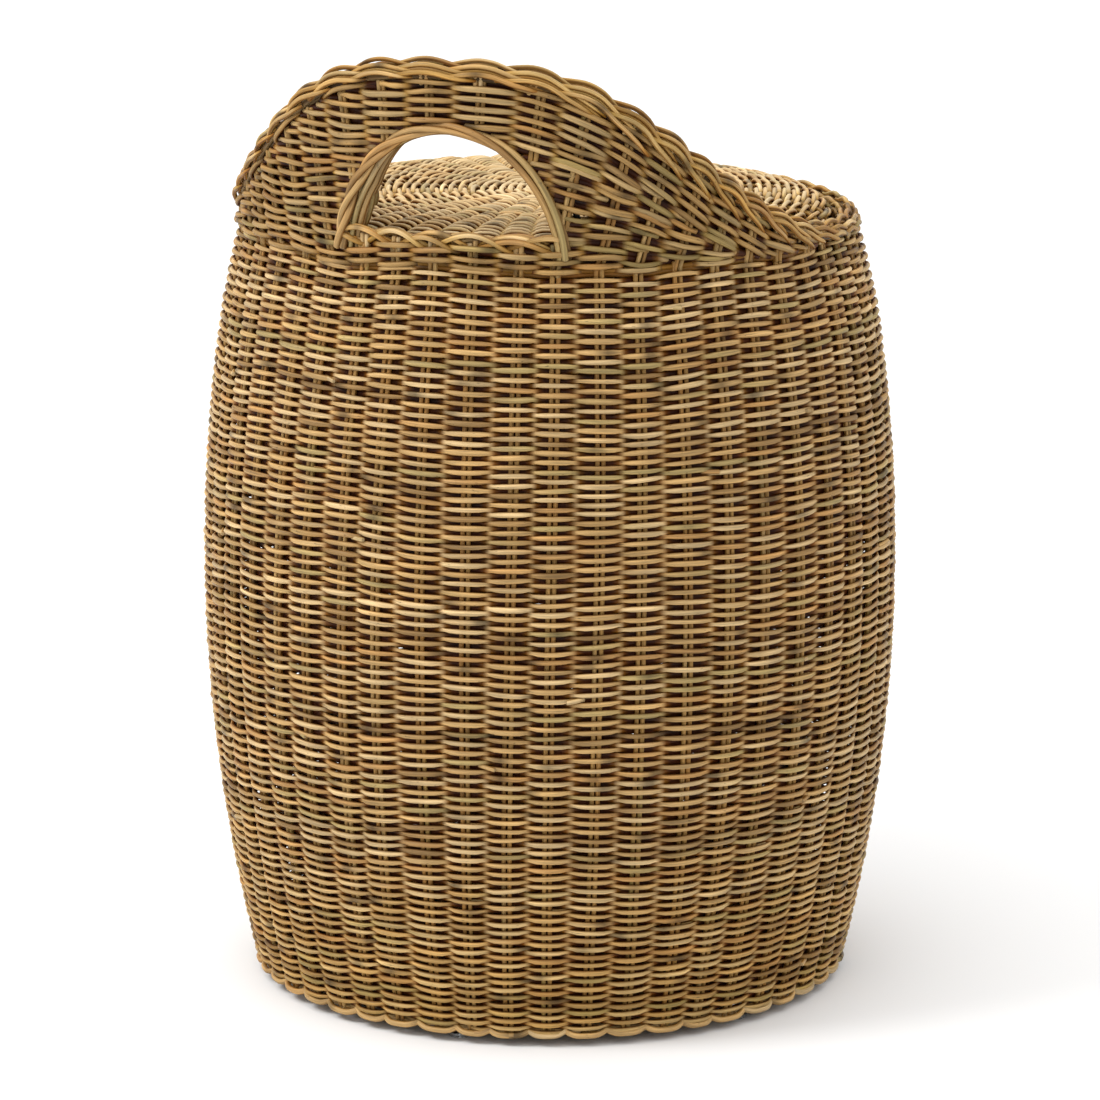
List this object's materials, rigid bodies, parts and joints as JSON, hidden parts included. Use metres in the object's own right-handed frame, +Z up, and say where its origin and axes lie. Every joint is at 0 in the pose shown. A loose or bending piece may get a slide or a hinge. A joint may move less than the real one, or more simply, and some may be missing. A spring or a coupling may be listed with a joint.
{
  "type": "woven laundry basket",
  "caption": "Barrel-shaped woven rattan laundry basket with one raised handle with a hand-hold, and a slightly domed woven lid that lifts off.",
  "frame": {"origin": "on the floor at the middle of the base", "axes": "+Z up through the middle of the basket; the raised handle is centred on -Y; X runs across the handle"},
  "size_m": [0.4998, 0.4998, 0.687],
  "materials": {
    "wall_rattan": "natural unbleached rattan core rods, honey tan with orange-brown and grey-green rods, satin and slightly fibrous",
    "lid_rattan": "paler straw-coloured rattan core rods, satin and slightly fibrous",
    "rattan_pole": "natural rattan pole with joints, satin",
    "clear_plastic": "clear moulded plastic, glossy",
    "nail_steel": "plain bright steel"
  },
  "bodies": {
    "basket": {"wall_weave": "wall_rattan", "foot_border": "wall_rattan", "base_hoop": "rattan_pole", "base_weave": "wall_rattan", "lid_ledge": "rattan_pole", "rim_border": "wall_rattan", "handle_weave": "wall_rattan", "handle_lining": "wall_rattan", "handle_frame_rod": "rattan_pole", "hand_hold_rod": "rattan_pole", "hand_hold_wrap": "wall_rattan", "hand_hold_sill": "wall_rattan", "base_rail_1": "rattan_pole", "base_rail_2": "rattan_pole", "base_rail_3": "rattan_pole", "glide_1": "clear_plastic", "glide_2": "clear_plastic", "glide_3": "clear_plastic", "glide_4": "clear_plastic", "glide_5": "clear_plastic", "glide_6": "clear_plastic", "glide_nail_1": "nail_steel", "glide_nail_2": "nail_steel", "glide_nail_3": "nail_steel", "glide_nail_4": "nail_steel", "glide_nail_5": "nail_steel", "glide_nail_6": "nail_steel"},
    "lid": {"lid_weave": "lid_rattan", "lid_border": "lid_rattan", "lid_hoop": "rattan_pole", "lid_rail_1": "rattan_pole", "lid_rail_2": "rattan_pole", "lid_rail_3": "rattan_pole"}
  },
  "joints": [
    {"name": "lid_lift", "type": "slide", "parent": "basket", "child": "lid", "axis": [0, 0, 1], "range_m": [0, 0.25]}
  ]
}
